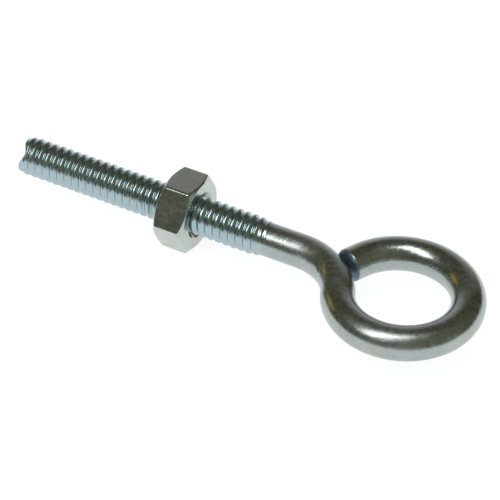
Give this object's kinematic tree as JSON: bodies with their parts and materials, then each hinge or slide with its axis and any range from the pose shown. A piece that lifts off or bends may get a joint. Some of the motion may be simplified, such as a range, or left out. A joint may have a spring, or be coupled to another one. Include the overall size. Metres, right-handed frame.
{
  "type": "eye bolt",
  "caption": "Round-rod eye bolt: a closed eye bent on one end, a machine thread on the other, and a hex nut that screws along the thread.",
  "frame": {"origin": "centre of the threaded tip, on the shank's axis", "axes": "+X along the shank's axis from the tip to the eye; the eye lies in the XY plane; +Z is the eye's normal, up as the bolt lies on a table"},
  "size_m": [0.0768, 0.0243, 0.0112],
  "materials": {
    "zinc_rod": "bright zinc plate on cold-formed steel, fine pitted grain",
    "zinc_nut": "bright zinc plate on a cold-formed nut"
  },
  "bodies": {
    "bolt": {"eye_bolt": "zinc_rod"},
    "nut_carriage": {"nut_thread": "zinc_nut"},
    "nut": {"hex_nut": "zinc_nut"}
  },
  "joints": [
    {"name": "nut_travel", "type": "slide", "parent": "bolt", "child": "nut_carriage", "axis": [1, 0, 0], "range_m": [-0.0251, 0.0118]},
    {"name": "nut_turn", "type": "hinge", "parent": "nut_carriage", "child": "nut", "pos_m": [0.02535, 0, 0], "axis": [1, 0, 0], "range_deg": [-7116, 3346]}
  ],
  "couplings": [
    {"joint": "nut_turn", "follows": "nut_travel", "rad_per_m": 4947.4}
  ]
}
